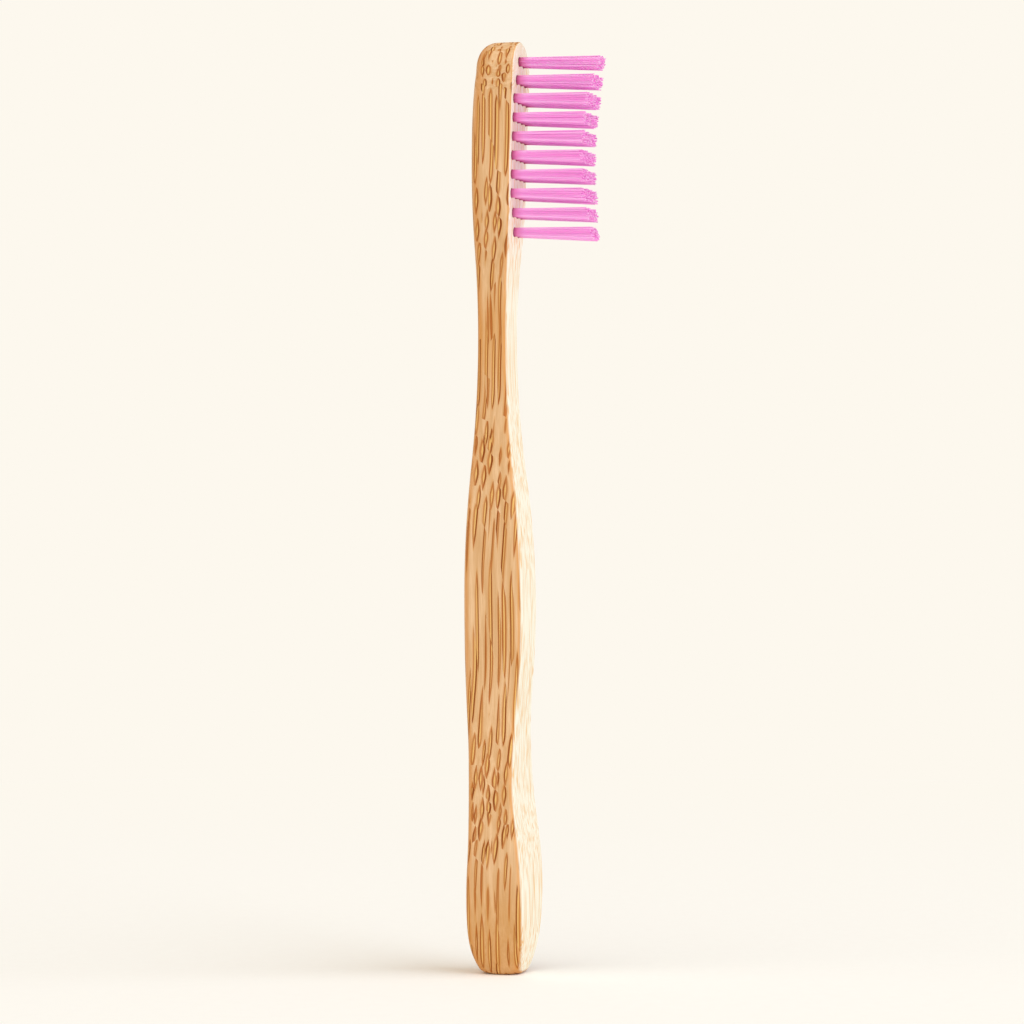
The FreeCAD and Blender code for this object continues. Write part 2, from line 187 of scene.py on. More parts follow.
slowness = (1 / WANDER_WIDTH, 1 / WANDER_WIDTH, 1 / WANDER_LENGTH)
slow = add(tree, "ShaderNodeVectorMath", {0: stem, 1: slowness}, operation="MULTIPLY")
drift = add(tree, "ShaderNodeTexNoise", {"Vector": slow, "Scale": 1, "Detail": 1}, out="Color")
drift = {0: drift, 1: (WANDER, WANDER, 0), 2: STRIP_PLACE}
drift = add(tree, "ShaderNodeVectorMath", drift, operation="MULTIPLY_ADD")
drawn_in = add(tree, "ShaderNodeMapRange", {"Value": height, **ROUND_DOTS})
drawn_in = add(tree, "ShaderNodeCombineXYZ", {"X": 1, "Y": drawn_in, "Z": 1})
grown = add(tree, "ShaderNodeVectorMath", {0: stem, 1: drawn_in, 2: drift}, operation="MULTIPLY_ADD")
across = add(tree, "ShaderNodeSeparateXYZ", {0: grown})
along = {0: across, 1: STAGGER / SPACING_ACROSS, 2: along}
along = add(tree, "ShaderNodeMath", along, operation="MULTIPLY_ADD")
along_only = add(tree, "ShaderNodeCombineXYZ", {"Z": along})
cell_place = {0: grown, 1: (1 / SPACING_ACROSS, 1 / SPACING_DEEP, 0), 2: along_only}
cell_place = add(tree, "ShaderNodeVectorMath", cell_place, operation="MULTIPLY_ADD")
cell_middle = {"Vector": cell_place, "Scale": 1, "Randomness": UNEVENNESS}
cell_middle = add(tree, "ShaderNodeTexVoronoi", cell_middle, out="Position")
chance = add(tree, "ShaderNodeSeparateColor", {0: cell_middle.node.outputs["Color"]})
print("bundles stand", SPACING_ACROSS, "by", SPACING_DEEP, "mm apart")

# %% [markdown]
# The place of a point inside its cell gives the almond: the distance from the middle of the rod, plus
# a power of the distance along it, has pointed ends where it reaches 1. A high power gives a slender
# streak with straight sides, a low one an almond. The slant that the raised columns give a cell is
# taken out first, and the marks then lean a little towards the bristles, as the strip was cut not
# quite along the stem.

# %% Bamboo: streaks and almonds
# Millimetres for the rod. Reach and lean are counted in cells.
ROD_RADIUS = 0.38
ROD_DEPTH = 1.7
ALMOND_REACH = 0.6
LEAN = 0.25

# The powers that shape a mark, how much thinner a streak is than an almond, and from where on a
# leaning part shows full almonds. Last, how much larger or smaller one mark is than another.
DEPTH_POWER = 4
STREAK_POWER = 5
ALMOND_POWER = 1.5
STREAK_THINNING = 1.3
FULL_ALMONDS = 0.2
MARK_SIZES = {"To Min": 0.8, "To Max": 1.25}

inside = add(tree, "ShaderNodeVectorMath", {0: cell_place, 1: cell_middle}, operation="SUBTRACT")
staggered = add(tree, "ShaderNodeSeparateXYZ", {0: inside})
lowered = add(tree, "ShaderNodeMath", {0: staggered, 1: -STAGGER}, operation="MULTIPLY")
leaned = add(tree, "ShaderNodeMath", {0: staggered.node.outputs["Z"], 1: lowered}, operation="ADD")
leaned = add(tree, "ShaderNodeMath", {0: leaned, 1: -LEAN}, operation="MULTIPLY")
leaned = add(tree, "ShaderNodeCombineXYZ", {"X": leaned, "Z": lowered})
inside = add(tree, "ShaderNodeVectorMath", {0: inside, 1: leaned}, operation="ADD")
rod_sizes = (SPACING_ACROSS / ROD_RADIUS, SPACING_DEEP / ROD_DEPTH, 1 / ALMOND_REACH)
inside = add(tree, "ShaderNodeVectorMath", {0: inside, 1: rod_sizes}, operation="MULTIPLY")
sideways = add(tree, "ShaderNodeSeparateXYZ", {0: inside})
from_middle = add(tree, "ShaderNodeVectorMath", {0: inside}, operation="ABSOLUTE")
from_middle = add(tree, "ShaderNodeSeparateXYZ", {0: from_middle})
deep = {0: from_middle.node.outputs["Y"], 1: DEPTH_POWER}
deep = add(tree, "ShaderNodeMath", deep, operation="POWER")
leaning_part = {"Value": cut_across, "From Max": FULL_ALMONDS}
power = {**leaning_part, "To Min": STREAK_POWER, "To Max": ALMOND_POWER}
power = add(tree, "ShaderNodeMapRange", power)
lengthwise = add(tree, "ShaderNodeMath", {0: from_middle.node.outputs["Z"], 1: power}, operation="POWER")
slender = {**leaning_part, "To Min": STREAK_THINNING, "To Max": 1}
slender = add(tree, "ShaderNodeMapRange", slender)
almond = add(tree, "ShaderNodeMath", {0: from_middle, 1: slender, 2: deep}, operation="MULTIPLY_ADD")
almond = add(tree, "ShaderNodeMath", {0: almond, 1: lengthwise}, operation="ADD")
mark_size = add(tree, "ShaderNodeMapRange", {"Value": chance, **MARK_SIZES})
almond = add(tree, "ShaderNodeMath", {0: almond, 1: mark_size}, operation="MULTIPLY")
print("rods are", 2 * ROD_RADIUS, "mm wide")

# %% [markdown]
# Sanding opens the wall of a bundle as a dark line and leaves its core paler than the tissue. One side
# of the wall is often worn away, so each cell's random number makes one side of its ring fainter. The
# stronger side gets a darker brown, painted shade in its groove. The front and the back of the strip
# lie between the layers of bundles and show no rings.

# %% Bamboo: rings and cores
# How squarely a surface is turned to the front or the back where the rings fade and where they end.
FLAT_STEP = {"From Min": 0.6, "From Max": 0.9}

# Where each part of a mark ends: 0 is the middle of the rod and 1 is its wall.
MARK_PARTS = {"filled": (0.95, 1.1), "core": (0.26, 0.48), "halo": (0.9, 1.9)}
RING_STRENGTH = {"To Min": 0.75, "To Max": 1}
WORN_SIDE = {"From Min": -0.15, "From Max": 0.15, "To Min": 0.55, "To Max": 1}
# How strongly the painted shade in a groove falls on the stronger side of its ring.
PAINTED_GROOVE_SHADE = {"From Min": 0, "From Max": 0.2, "To Max": 0.7}

facing = add(tree, "ShaderNodeNewGeometry", {}, out="Normal")
ahead = add(tree, "ShaderNodeSeparateXYZ", {0: facing})
turned = add(tree, "ShaderNodeMath", {0: ahead}, operation="ABSOLUTE")
flat = add(tree, "ShaderNodeMapRange", {"Value": turned, **FLAT_STEP}, **EASED)
crossing = add(tree, "ShaderNodeMapRange", {"Value": turned, **FLAT_STEP, **FALLING}, **EASED)
parts = {}
for name, (start, end) in MARK_PARTS.items():
    part = {"Value": almond, "From Min": start, "From Max": end, **FALLING}
    part = add(tree, "ShaderNodeMapRange", part, **EASED)
    parts[name] = add(tree, "ShaderNodeMath", {0: part, 1: crossing}, operation="MULTIPLY")
ring = add(tree, "ShaderNodeMath", {0: parts["filled"], 1: parts["core"]}, operation="SUBTRACT")
either_side = add(tree, "ShaderNodeMath", {0: chance.node.outputs[1], 1: 0.5}, operation="SUBTRACT")
one_side = add(tree, "ShaderNodeMath", {0: either_side, 1: sideways}, operation="MULTIPLY")
worn = add(tree, "ShaderNodeMapRange", {"Value": one_side, **WORN_SIDE})
strength = add(tree, "ShaderNodeMapRange", {"Value": chance.node.outputs[2], **RING_STRENGTH})
ring = add(tree, "ShaderNodeMath", {0: ring, 1: strength}, operation="MULTIPLY")
ring = add(tree, "ShaderNodeMath", {0: ring, 1: worn}, operation="MULTIPLY")
# The painted shade in the groove: a darker brown on the stronger side of each ring.
painted_groove_shade = add(tree, "ShaderNodeMapRange", {"Value": one_side, **PAINTED_GROOVE_SHADE})
painted_groove_shade = add(tree, "ShaderNodeMath", {0: painted_groove_shade, 1: ring}, operation="MULTIPLY")
print("nodes so far:", len(tree.nodes))

# %% [markdown]
# The soft tissue is tan with fine fibres along the grain, and broader bands that change slowly. The
# rounded edges cut the fibres across and take up more oil, which turns them orange. The foot is
# darkened with painted shade, and the tissue turns more golden towards the thin neck. Each of these is
# a layer of colour, laid over the one before as stain is laid on wood.

# %% Bamboo: colour of the sides
# The foot's painted shade and the neck's golden tone are each given by a lowest and highest point in
# millimetres, and by a share of colour. A step up times a step down is a quarter at its highest.
SHADED_FOOT_AND_GOLDEN_NECK = ((-14, 20, 0.5), (88, 114, 0.4))
HIGHEST_PRODUCT = 0.25

# Millimetres. Single fibres are a fiftieth of a millimetre wide and too fine to show, so they are
# drawn as strands ten times as wide.
FIBRE_WIDTH = 0.2
FIBRE_LENGTH = 5
BAND_WIDTH = 1.11
BAND_LENGTH = 16.7

# The middle values of a noise, and the shares of the layers.
MIDDLE_VALUES = {"From Min": 0.35, "From Max": 0.65}
FIBRE_SHARE = 0.4
EDGE_BEGINS = {"From Min": 0.1, "From Max": 0.5, "To Max": 0.5}
EDGE_ENDS = {"From Min": 0.6, "From Max": 0.98}
HALO_SHARE = 0.5
CORE_SHARE = 0.75

foot_shade_and_golden_neck = 0
for low, high, share in SHADED_FOOT_AND_GOLDEN_NECK:
    step = {"Value": height, "From Min": low, "From Max": high}
    up_step = add(tree, "ShaderNodeMapRange", step, **EASED)
    step = {**step, "To Min": share / HIGHEST_PRODUCT, "To Max": 0}
    down_step = add(tree, "ShaderNodeMapRange", step, **EASED)
    foot_shade_and_golden_neck = add(tree, "ShaderNodeMath", {0: up_step, 1: down_step, 2: foot_shade_and_golden_neck}, operation="MULTIPLY_ADD")
fibre_place = {0: grown, 1: (1 / FIBRE_WIDTH, 1 / FIBRE_WIDTH, 1 / FIBRE_LENGTH)}
fibre_place = add(tree, "ShaderNodeVectorMath", fibre_place, operation="MULTIPLY")
fibre = add(tree, "ShaderNodeTexNoise", {"Vector": fibre_place, "Scale": 1, "Detail": 3})
band_place = {0: grown, 1: (1 / BAND_WIDTH, 1 / BAND_WIDTH, 1 / BAND_LENGTH)}
band_place = add(tree, "ShaderNodeVectorMath", band_place, operation="MULTIPLY")
band = add(tree, "ShaderNodeTexNoise", {"Vector": band_place, "Scale": 1, "Detail": 2})
fibre_share = add(tree, "ShaderNodeMapRange", {"Value": fibre, **MIDDLE_VALUES, "To Max": FIBRE_SHARE})
band_share = add(tree, "ShaderNodeMapRange", {"Value": band, **MIDDLE_VALUES})
rising = add(tree, "ShaderNodeMapRange", {"Value": turned, **EDGE_BEGINS})
sinking = add(tree, "ShaderNodeMapRange", {"Value": turned, **EDGE_ENDS, **FALLING}, **EASED)
edge = add(tree, "ShaderNodeMath", {0: rising, 1: sinking}, operation="MULTIPLY")
halo_share = add(tree, "ShaderNodeMath", {0: parts["halo"], 1: HALO_SHARE}, operation="MULTIPLY")
core_share = add(tree, "ShaderNodeMath", {0: parts["core"], 1: CORE_SHARE}, operation="MULTIPLY")
side_colour = {MIX_FACTOR: band_share, MIX_A: "#E8C39A", MIX_B: "#D6AB7C"}
side_colour = add(tree, "ShaderNodeMix", side_colour, **COLOURS)
# The layer for the foot and the neck is painted shade on the foot and a more golden tone at the neck.
layers = (
    (fibre_share, "#C2925E"), (foot_shade_and_golden_neck, "#CB8E40"), (edge, "#D68A38"), (halo_share, "#CC8A34"),
    (core_share, "#E8BC70"), (ring, "#A85200"), (painted_groove_shade, "#743200"),
)
for share, tint in layers:
    side_colour = {MIX_FACTOR: share, MIX_A: side_colour, MIX_B: tint}
    side_colour = add(tree, "ShaderNodeMix", side_colour, **COLOURS)
print("layers of colour on the sides:", 1 + len(layers))

# %% [markdown]
# The front of the strip comes from the paler inside of the stem, so the colour leans to cream where
# the surface faces the bristles, and it is made paler still as painted light on the face that the main
# lamp lights most. There and on the back the bundles show as fine dashes only, which a stretched noise
# gives without cells of its own.

# %% Bamboo: colour of the front and the back
# Millimetres for the width. The length follows the cells, with a little over one dash to a cell.
DASH_WIDTH = 0.25
DASHES_PER_CELL = 1.3
DASH_STEP = {"From Min": 0.5, "From Max": 0.64, "To Max": 0.8}
FRONT_STEP = {"From Min": 0.55, "From Max": 0.95}

dash_place = {0: grown, 1: (1 / DASH_WIDTH, 1 / DASH_WIDTH, 0)}
dash_place = add(tree, "ShaderNodeVectorMath", dash_place, operation="MULTIPLY")
dash_place = {0: along_only, 1: (0, 0, DASHES_PER_CELL), 2: dash_place}
dash_place = add(tree, "ShaderNodeVectorMath", dash_place, operation="MULTIPLY_ADD")
dash = add(tree, "ShaderNodeTexNoise", {"Vector": dash_place, "Scale": 1, "Detail": 1})
dash_share = add(tree, "ShaderNodeMapRange", {"Value": dash, **DASH_STEP})
back_dash = add(tree, "ShaderNodeMath", {0: dash_share, 1: flat}, operation="MULTIPLY")
back_colour = {MIX_FACTOR: back_dash, MIX_A: side_colour, MIX_B: "#A9692E"}
back_colour = add(tree, "ShaderNodeMix", back_colour, **COLOURS)
# The cream is partly the paler inside wood and partly painted light on the lamp-facing front.
cream = {MIX_FACTOR: fibre_share, MIX_A: "#F0EDDF", MIX_B: "#EADDC0"}
cream = add(tree, "ShaderNodeMix", cream, **COLOURS)
front_colour = {MIX_FACTOR: dash_share, MIX_A: cream, MIX_B: "#E4B06A"}
front_colour = add(tree, "ShaderNodeMix", front_colour, **COLOURS)
front = add(tree, "ShaderNodeMapRange", {"Value": ahead, **FRONT_STEP}, **EASED)
colour = {MIX_FACTOR: front, MIX_A: back_colour, MIX_B: front_colour}
colour = add(tree, "ShaderNodeMix", colour, **COLOURS)
print("nodes so far:", len(tree.nodes))

# %% [markdown]
# Sanding wears the walls of the bundles into shallow grooves, so the same patterns also drive the bump
# and the roughness. The oil gives a low sheen: dry wood is about half rough, and its reflection is
# kept weak so that it doesn't veil the brown of the grain.

# %% Bamboo: relief and sheen
# Millimetres for the groove, and the relief of the fibres as a share of it.
GROOVE_DEPTH = 0.1
FIBRE_RELIEF = 0.4
RELIEF_STRENGTH = 0.7
WOOD_ROUGHNESS = {"To Min": 0.45, "To Max": 0.65}
WOOD_REFLECTION = 0.2

groove = add(tree, "ShaderNodeMath", {0: ring, 1: -1.0}, operation="MULTIPLY")
relief = add(tree, "ShaderNodeMath", {0: fibre, 1: FIBRE_RELIEF, 2: groove}, operation="MULTIPLY_ADD")
bump = {"Height": relief, "Distance": GROOVE_DEPTH * MM, "Strength": RELIEF_STRENGTH}
bump = add(tree, "ShaderNodeBump", bump, out="Normal")
roughness = add(tree, "ShaderNodeMapRange", {"Value": fibre, **WOOD_ROUGHNESS})
wood = add(
    tree, "ShaderNodeBsdfPrincipled",
    {"Base Color": colour, "Roughness": roughness, "Normal": bump, "Specular IOR Level": WOOD_REFLECTION},
)
add(tree, "ShaderNodeOutputMaterial", {"Surface": wood})
print("bamboo nodes:", len(tree.nodes))

# %% [markdown]
# ## The handle
# The handle is one strip, milled to a side outline and a front outline, with its edges rounded by
# sanding. The CAD solid has it as straight runs from slice to slice, and the runs would catch the
# light. A subdivided block would be smooth but hard to hold to measured sizes. So the same turns of
# the outlines are joined by smooth curves here, and a rounded rectangle is drawn at every step up the
# handle.

# %% Handle: outlines
# Millimetres. Each pair is a height above the foot and how far out the outline lies there.
HEAD_BASE = 128.2
HEAD_END = 143.0
HEAD_FORWARD = 0.55
NOSE_TAPER = 0.6
FOOT_ROUNDING = 0.9
WIDTHS = ((0, 6.6), (22, 13.5), (48, 8.8), (60, 9.4), (101, 6.8), (HEAD_BASE, 9.99))
FRONTS = ((0, 3.3), (12.5, 4.65), (34, 3.05), (57, 4.1), (101, 1.3), (HEAD_BASE, 2.25))
BACKS = ((0, 3.3), (9, 4.85), (25, 4.35), (53, 5.65), (60, 5.65), (101, 3.75), (HEAD_BASE, 4.6))
FRONT_RADII = ((0, 2.4), (9, 0.9), (101, 0.9), (HEAD_BASE, 0.4))
BACK_RADII = ((0, 2.6), (9, 1.4), (101, 1.4), (HEAD_BASE, 2.4), (HEAD_END, 3.0))

# How late the nose tapers, how much the rounding draws in the foot, and the steps round a corner.
NOSE_POWER = 4
FOOT_INSET = 0.9
CORNER_STEPS = 8


def reach_at(turns, level):
    """How far out an outline lies at a height: steep out of the foot, then eased at each turn."""
    upper = next((i for i in range(1, len(turns)) if turns[i][0] > level), len(turns) - 1)
    low, low_reach = turns[upper - 1]
    high, high_reach = turns[upper]
    rise = min((level - low) / (high - low), 1)
    if upper == 1:
        share = 1 - (1 - rise) ** 3
    elif rise < 0.5:
        share = 2 * rise ** 2
    else:
        share = 1 - 2 * (1 - rise) ** 2
    return low_reach + share * (high_reach - low_reach)


def half_outline(level):
    """Half of the section at a height, as points from the middle of the front to that of the back."""
    up_the_head = max(level - HEAD_BASE, 0) / (HEAD_END - HEAD_BASE)
    under = max(FOOT_ROUNDING - level, 0)
    inset = FOOT_INSET * (FOOT_ROUNDING - math.sqrt(FOOT_ROUNDING ** 2 - under ** 2))
    half = reach_at(WIDTHS, level) / 2 - inset
    front_x = reach_at(FRONTS, level) + up_the_head * HEAD_FORWARD - inset
    back_x = inset - reach_at(BACKS, level) + up_the_head ** NOSE_POWER * NOSE_TAPER
    small = reach_at(FRONT_RADII, level)
    large = reach_at(BACK_RADII, level)
    quarter = [i / CORNER_STEPS * math.pi / 2 for i in range(CORNER_STEPS + 1)]
    outline = [(front_x, 0)]
    for turn in quarter:
        outline.append((front_x - small * (1 - math.cos(turn)), half - small * (1 - math.sin(turn))))
    for turn in quarter:
        outline.append((back_x + large * (1 - math.sin(turn)), half - large * (1 - math.cos(turn))))
    return outline + [(back_x, 0)]


print("half section at the neck in mm:", [(round(x, 2), round(y, 2)) for x, y in half_outline(101)[:3]])

# %% [markdown]
# The sections are joined to a tube, closed at the foot, and the end of the head is the last half
# section turned over the top, as a round-over bit would leave it.

# %% Handle: skin
# Millimetres for the slices.
SLICE_STEP = 0.8
FOOT_STEPS = 6
NOSE_STEPS = 24

foot_turns = [i / FOOT_STEPS * math.pi / 2 for i in range(FOOT_STEPS)]
levels = [FOOT_ROUNDING * (1 - math.cos(turn)) for turn in foot_turns]
slices = round((HEAD_END - FOOT_ROUNDING) / SLICE_STEP)
levels += [FOOT_ROUNDING + (HEAD_END - FOOT_ROUNDING) * i / slices for i in range(slices + 1)]
points = []
faces = []
for level in levels:
    half = half_outline(level)
    ring_points = half + [(x, -y) for x, y in reversed(half[1:-1])]
    points += [Vector((x, y, level)) * MM for x, y in ring_points]
around = len(ring_points)
for i in range(len(levels) - 1):
    for j in range(around):
        a = i * around + j
        b = i * around + (j + 1) % around
        faces.append((a, b, b + around, a + around))
faces.append(tuple(range(around)))
first_of_nose = len(points)
for i in range(NOSE_STEPS + 1):
    turn = math.pi * i / NOSE_STEPS
    points += [Vector((x, y * math.cos(turn), HEAD_END + y * math.sin(turn))) * MM for x, y in half]
for i in range(NOSE_STEPS):
    for j in range(len(half) - 1):
        a = first_of_nose + i * len(half) + j
        faces.append((a, a + 1, a + 1 + len(half), a + len(half)))
print("handle skin:", len(levels), "sections of", around, "points")

# %% [markdown]
# The turned end and the tube meet in points that lie on each other. Joining these makes one closed
# skin, which the drill below needs, and all its faces can then be turned outwards together.

# %% Handle: mesh
JOIN_DISTANCE = 0.001 * MM


def closed_mesh(name, points, faces):
    """A mesh with its double points joined and its faces turned outwards."""
    mesh = bpy.data.meshes.new(name)
    mesh.from_pydata(points, [], faces)
    joined = bmesh.new()
    joined.from_mesh(mesh)
    bmesh.ops.remove_doubles(joined, verts=joined.verts, dist=JOIN_DISTANCE)
    bmesh.ops.recalc_face_normals(joined, faces=joined.faces)
    joined.to_mesh(mesh)
    joined.free()
    return mesh


handle = bpy.data.objects.new("bamboo_handle", closed_mesh("bamboo_handle", points, faces))
bpy.context.scene.collection.objects.link(handle)
print("handle skin:", len(handle.data.vertices), "points,", len(handle.data.polygons), "faces")

# %% [markdown]
# ## Where the tufts stand
# The rows of brass plates in the CAD model show which way the head leans and where each hole is. The
# line from the last row to the first runs up the head, and the holes are drilled square to it. Reading
# this from the CAD nodes keeps the two models together if a size changes.

# %% The head's own directions
PLATE_TO_FRONT = 2.1 * MM


def middle_of(node_name):
    """The middle of the box round a CAD node."""
    low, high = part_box(node_name)
    return (Vector(low) + Vector(high)) / 2


plate_nodes = sorted(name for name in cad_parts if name.startswith("anchors_"))
tuft_nodes = sorted(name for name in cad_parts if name.startswith("bristle_tuft_"))
first_plates = middle_of(plate_nodes[0])
last_plates = middle_of(plate_nodes[-1])
field_middle = (first_plates + last_plates) / 2
up_head = (first_plates - last_plates).normalized()
across_head = Vector((0, 1, 0))
out_of_head = Vector((up_head.z, 0, -up_head.x))
head_front = first_plates.dot(out_of_head) + PLATE_TO_FRONT


def plate_middle(tuft_node):
    """The middle of the plate that pins a tuft: its row's height and depth, the tuft's own width."""
    middle = middle_of("anchors_" + tuft_node.split("_")[2])
    middle.y = middle_of(tuft_node).y
    return middle


print(len(tuft_nodes), "tufts, lean", round(math.degrees(math.atan2(up_head.x, up_head.z)), 2), "degrees")

# %% [markdown]
# Each tuft has a blind hole of its own, drilled with a flat-ended bit. One mesh holds all the bits,
# because one cut leaves fewer stray edges than a cut for each hole.

# %% Handle: drill bits
HOLE_RADIUS = 0.8 * MM
HOLE_FLOOR = -1.3 * MM
BIT_TOP = 2.8 * MM
BIT_SIDES = 32

points = []
faces = []
for name in tuft_nodes:
    start = len(points)
    for depth in (HOLE_FLOOR, BIT_TOP):
        centre = plate_middle(name) + depth * out_of_head
        for i in range(BIT_SIDES):
            turn = 2 * math.pi * i / BIT_SIDES
            points.append(centre + HOLE_RADIUS * (math.cos(turn) * across_head + math.sin(turn) * up_head))
    for i in range(BIT_SIDES):
        a = start + i
        b = start + (i + 1) % BIT_SIDES
        faces.append((a, b, b + BIT_SIDES, a + BIT_SIDES))
    faces.append(tuple(range(start, start + BIT_SIDES)))
    faces.append(tuple(range(start + BIT_SIDES, start + 2 * BIT_SIDES)))
bits = bpy.data.objects.new("drill_bits", closed_mesh("drill_bits", points, faces))
bpy.context.scene.collection.objects.link(bits)
print("drill bits:", len(tuft_nodes), "with", BIT_SIDES, "sides")

# %% [markdown]
# The bits are cut out of the skin, and the drilled handle takes the place of the CAD handle. Weighted
# normals keep the flat faces flat beside the small rounded edges, and the rims of the holes stay
# sharp.

# %% Handle: drilled holes
SHARPEST_SMOOTH_EDGE = math.radians(40)


def place(piece, node_name, material):
    """Gives a finished piece its material and puts it in the place of a CAD node."""
    piece.data.materials.append(material)
    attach(piece, "root")
    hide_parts(node_name)


drilling = handle.modifiers.new("drilling", "BOOLEAN")
drilling.object = bits
drilling.solver = "EXACT"
bpy.context.view_layer.update()
drilled = handle.evaluated_get(bpy.context.evaluated_depsgraph_get())
handle.data = bpy.data.meshes.new_from_object(drilled)
handle.modifiers.clear()
bpy.data.objects.remove(bits)
handle.data.shade_smooth()
handle.data.set_sharp_from_angle(angle=SHARPEST_SMOOTH_EDGE)
level_normals = handle.modifiers.new("level_normals", "WEIGHTED_NORMAL")
level_normals.keep_sharp = True
place(handle, "handle", bamboo)
print("drilled handle:", len(handle.data.vertices), "points,", len(handle.data.polygons), "faces")

# %% [markdown]
# ## Dyed nylon
# The filaments are extruded nylon, dyed pink in the melt, so the colour goes right through and light
# passes into them. Glass-like nylon would need very many light paths in a bundle this dense, so a
# little scattering under the surface stands in for it. Neighbours differ a little. Near the head the
# pink is painted deeper, to magenta, as painted shade between the tufts, and darkest at the rim of the
# hole as a painted shadow of the hole.

# %% Nylon: pink, with painted shade towards the root
# Each painted shade is full at one distance out of the head's front and gone at another, in
# millimetres: a deeper pink towards the root, then the painted shadow at the rim of the hole.
PAINTED_ROOT_SHADES = ((0, 2.2, "#DE6EB0"), (-0.2, 0.9, "#981C50"))

# To the eye, extruded and dyed nylon is a clean pink that glows a little, with bright fine lines.
nylon, tree = new_material("nylon_extruded_and_dyed")
coordinates = add(tree, "ShaderNodeTexCoord", {}, out="Object")
out_from_head = add(
    tree, "ShaderNodeVectorMath", {0: coordinates, 1: out_of_head}, out="Value", operation="DOT_PRODUCT",
)
surface = add(tree, "ShaderNodeNewGeometry", {}, out="Random Per Island")
pink = add(tree, "ShaderNodeMix", {MIX_FACTOR: surface, MIX_A: "#FBCAF2", MIX_B: "#E976CE"}, **COLOURS)
for full, gone, tint in PAINTED_ROOT_SHADES:
    root_shade = {"From Min": head_front + full * MM, "From Max": head_front + gone * MM}
    root_shade = add(tree, "ShaderNodeMapRange", {"Value": out_from_head, **root_shade, **FALLING}, **EASED)
    pink = add(tree, "ShaderNodeMix", {MIX_FACTOR: root_shade, MIX_A: pink, MIX_B: tint}, **COLOURS)
print("shades of pink towards the root:", len(PAINTED_ROOT_SHADES))

# %% [markdown]
# The cut ends show either the bright cut or the deep colour inside. They lie so in small clumps,
# because the knife bends neighbours the same way, so a noise as wide as a clump chooses between the
# two. The die leaves long lines on a filament, which make its gloss uneven.

# %% Nylon: cut ends and gloss
# A cut end faces out of the head within about 45 degrees. Two or three filaments make a clump.
CUT_END_FACING = 0.7
CLUMP_WIDTH = 0.45 * MM
CLUMP_STEP = {"From Min": 0.42, "From Max": 0.56}

# Real lines from the die are thousandths of a millimetre wide and too fine to show, so they are drawn
# a little finer than a filament.
DIE_LINE_WIDTH = MM / 9
DIE_LINE_LENGTH = 5 * MM
NYLON_ROUGHNESS = {"To Min": 0.35, "To Max": 0.55}

normal = surface.node.outputs["Normal"]
outwards = add(
    tree, "ShaderNodeVectorMath", {0: normal, 1: out_of_head}, out="Value", operation="DOT_PRODUCT",
)
cut_end = add(tree, "ShaderNodeMath", {0: outwards, 1: CUT_END_FACING}, operation="GREATER_THAN")
clump = {"Vector": coordinates, "Scale": 1 / CLUMP_WIDTH, "Detail": 1}
clump = add(tree, "ShaderNodeTexNoise", clump)
deep_share = add(tree, "ShaderNodeMapRange", {"Value": clump, **CLUMP_STEP})
speckle = {MIX_FACTOR: deep_share, MIX_A: "#FFF0FC", MIX_B: "#E244C4"}
speckle = add(tree, "ShaderNodeMix", speckle, **COLOURS)
pink = add(tree, "ShaderNodeMix", {MIX_FACTOR: cut_end, MIX_A: pink, MIX_B: speckle}, **COLOURS)
line_place = {0: coordinates, 1: (1 / DIE_LINE_LENGTH, 1 / DIE_LINE_WIDTH, 1 / DIE_LINE_WIDTH)}
line_place = add(tree, "ShaderNodeVectorMath", line_place, operation="MULTIPLY")
drawn = add(tree, "ShaderNodeTexNoise", {"Vector": line_place, "Scale": 1, "Detail": 1})
roughness = add(tree, "ShaderNodeMapRange", {"Value": drawn, **NYLON_ROUGHNESS})
filament = add(
    tree, "ShaderNodeBsdfPrincipled",
    {
        "Base Color": pink,
        "Roughness": roughness,
        "IOR": 1.53,
        "Subsurface Weight": 0.5,
        "Subsurface Radius": (0.6, 0.25, 0.5),
        "Subsurface Scale": 0.4 * MM,
    },
)
add(tree, "ShaderNodeOutputMaterial", {"Surface": filament})
print("nylon nodes:", len(tree.nodes))

# %% [markdown]
# ## The tufts
# A tuft is a bundle of straight filaments, folded in half under a plate at the bottom of its hole, so
# that each filament has two ends. It leaves the hole as a tight round bundle and spreads towards the
# tips, which are trimmed to a shallow hollow. Hair particles would be quick to make, but they are not
# a mesh that can be kept, so each filament here is a thin tube along a short list of points: one leg
# in, round the fold, and the other leg out. Random numbers with a fixed seed move each one a little.

# %% Tufts: places of the filaments
RINGS = 4
FIRST_ROW_UP = 0.25


def hexagon_places(rings):
    """Places in a unit disc, on a hexagon of rings round a middle one, the upper half only."""
    places = []
    for row in range(rings + 1):
        count = 2 * rings + 1 - row
        for column in range(count):
            across = (column - (count - 1) / 2) / rings
            up = (row * math.sqrt(3) / 2 + FIRST_ROW_UP) / rings
            places.append((across, up))
    return places


print("ends in a tuft:", 2 * len(hexagon_places(RINGS)))

# %% [markdown]
# The tube needs a direction across it at each point. The fold bends only up and down, so the width of
# the brush is always across the filament and can be used for every ring of points.

# %% Tufts: one filament as a tube
FILAMENT_DIAMETER = 0.17 * MM
FILAMENT_SIDES = 6


